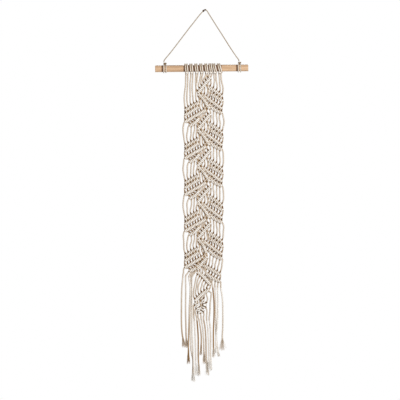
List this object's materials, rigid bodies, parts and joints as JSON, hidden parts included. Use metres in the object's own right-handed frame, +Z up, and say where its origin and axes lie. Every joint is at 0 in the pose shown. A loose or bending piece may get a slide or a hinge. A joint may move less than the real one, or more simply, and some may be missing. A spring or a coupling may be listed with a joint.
{
  "type": "macrame wall hanging",
  "caption": "Long knotted cotton wall hanging with a leaf and vine pattern and a frayed fringe, hung from a round wooden dowel on a twine hanger.",
  "frame": {"origin": "where the nail touches the underside of the hanger's apex", "axes": "+Z up, the front faces -Y, the wall is on the +Y side, +X to the viewer's right"},
  "size_m": [0.2332, 0.0256, 0.933],
  "materials": {
    "wood": "plain light wood, sanded, unvarnished",
    "cotton": "off-white three-ply twisted cotton cord",
    "twine": "thin beige twisted twine"
  },
  "bodies": {
    "hanger": {"hanging_cord": "twine", "hitch_left": "twine", "hitch_right": "twine"},
    "dowel": {"dowel": "wood", "larks_head_1": "cotton", "larks_head_2": "cotton", "larks_head_3": "cotton", "larks_head_4": "cotton", "larks_head_5": "cotton", "larks_head_6": "cotton", "larks_head_7": "cotton", "larks_head_8": "cotton"},
    "tier_1": {"vine_1": "cotton", "leaf_left_1": "cotton", "leaf_right_1": "cotton", "strands_left_1": "cotton", "strands_right_2": "cotton", "strands_right_1": "cotton", "strands_centre_1": "cotton"},
    "tier_2": {"vine_2": "cotton", "leaf_left_2": "cotton", "leaf_right_2": "cotton", "strands_left_2": "cotton", "strands_right_3": "cotton"},
    "tier_3": {"vine_3": "cotton", "leaf_left_3": "cotton", "leaf_right_3": "cotton", "strands_left_3": "cotton", "strands_right_4": "cotton"},
    "tier_4": {"vine_4": "cotton", "leaf_left_4": "cotton", "leaf_right_4": "cotton", "strands_left_4": "cotton", "strands_right_5": "cotton"},
    "tier_5": {"vine_5": "cotton", "leaf_left_5": "cotton", "leaf_right_5": "cotton", "strands_left_5": "cotton", "strands_right_6": "cotton", "leaf_right_6": "cotton"},
    "tier_6": {"vine_end": "cotton", "strands_centre_2": "cotton"},
    "fringe_left": {"tail_01": "cotton", "tail_02": "cotton", "tail_03": "cotton", "tail_04": "cotton", "tail_05": "cotton"},
    "fringe_centre": {"tail_06": "cotton", "tail_07": "cotton", "tail_08": "cotton", "tail_09": "cotton", "tail_10": "cotton", "tail_11": "cotton", "tail_12": "cotton"},
    "fringe_right": {"tail_13": "cotton", "tail_14": "cotton", "tail_15": "cotton", "tail_16": "cotton"}
  },
  "joints": [
    {"name": "dowel_roll", "type": "hinge", "parent": "hanger", "child": "dowel", "pos_m": [-0.0098, 0, -0.1448], "axis": [0.9999, 0, 0.0105], "range_deg": [-120, 120]},
    {"name": "panel_swing", "type": "hinge", "parent": "dowel", "child": "tier_1", "pos_m": [-0.006, 0, -0.1615], "axis": [1, 0, 0], "range_deg": [-30, 30]},
    {"name": "panel_fold_1", "type": "hinge", "parent": "tier_1", "child": "tier_2", "pos_m": [-0.006, 0, -0.284], "axis": [1, 0, 0], "range_deg": [-30, 30]},
    {"name": "panel_fold_2", "type": "hinge", "parent": "tier_2", "child": "tier_3", "pos_m": [-0.006, 0, -0.375], "axis": [1, 0, 0], "range_deg": [-30, 30]},
    {"name": "panel_fold_3", "type": "hinge", "parent": "tier_3", "child": "tier_4", "pos_m": [-0.006, 0, -0.466], "axis": [1, 0, 0], "range_deg": [-30, 30]},
    {"name": "panel_fold_4", "type": "hinge", "parent": "tier_4", "child": "tier_5", "pos_m": [-0.006, 0, -0.557], "axis": [1, 0, 0], "range_deg": [-30, 30]},
    {"name": "panel_fold_5", "type": "hinge", "parent": "tier_5", "child": "tier_6", "pos_m": [-0.006, 0, -0.69], "axis": [1, 0, 0], "range_deg": [-30, 30]},
    {"name": "fringe_left_swing", "type": "hinge", "parent": "tier_5", "child": "fringe_left", "pos_m": [-0.044, 0, -0.657], "axis": [1, 0, 0], "range_deg": [-60, 60]},
    {"name": "fringe_centre_swing", "type": "hinge", "parent": "tier_6", "child": "fringe_centre", "pos_m": [-0.009, 0, -0.769], "axis": [1, 0, 0], "range_deg": [-60, 60]},
    {"name": "fringe_right_swing", "type": "hinge", "parent": "tier_5", "child": "fringe_right", "pos_m": [0.027, 0, -0.686], "axis": [1, 0, 0], "range_deg": [-60, 60]}
  ]
}
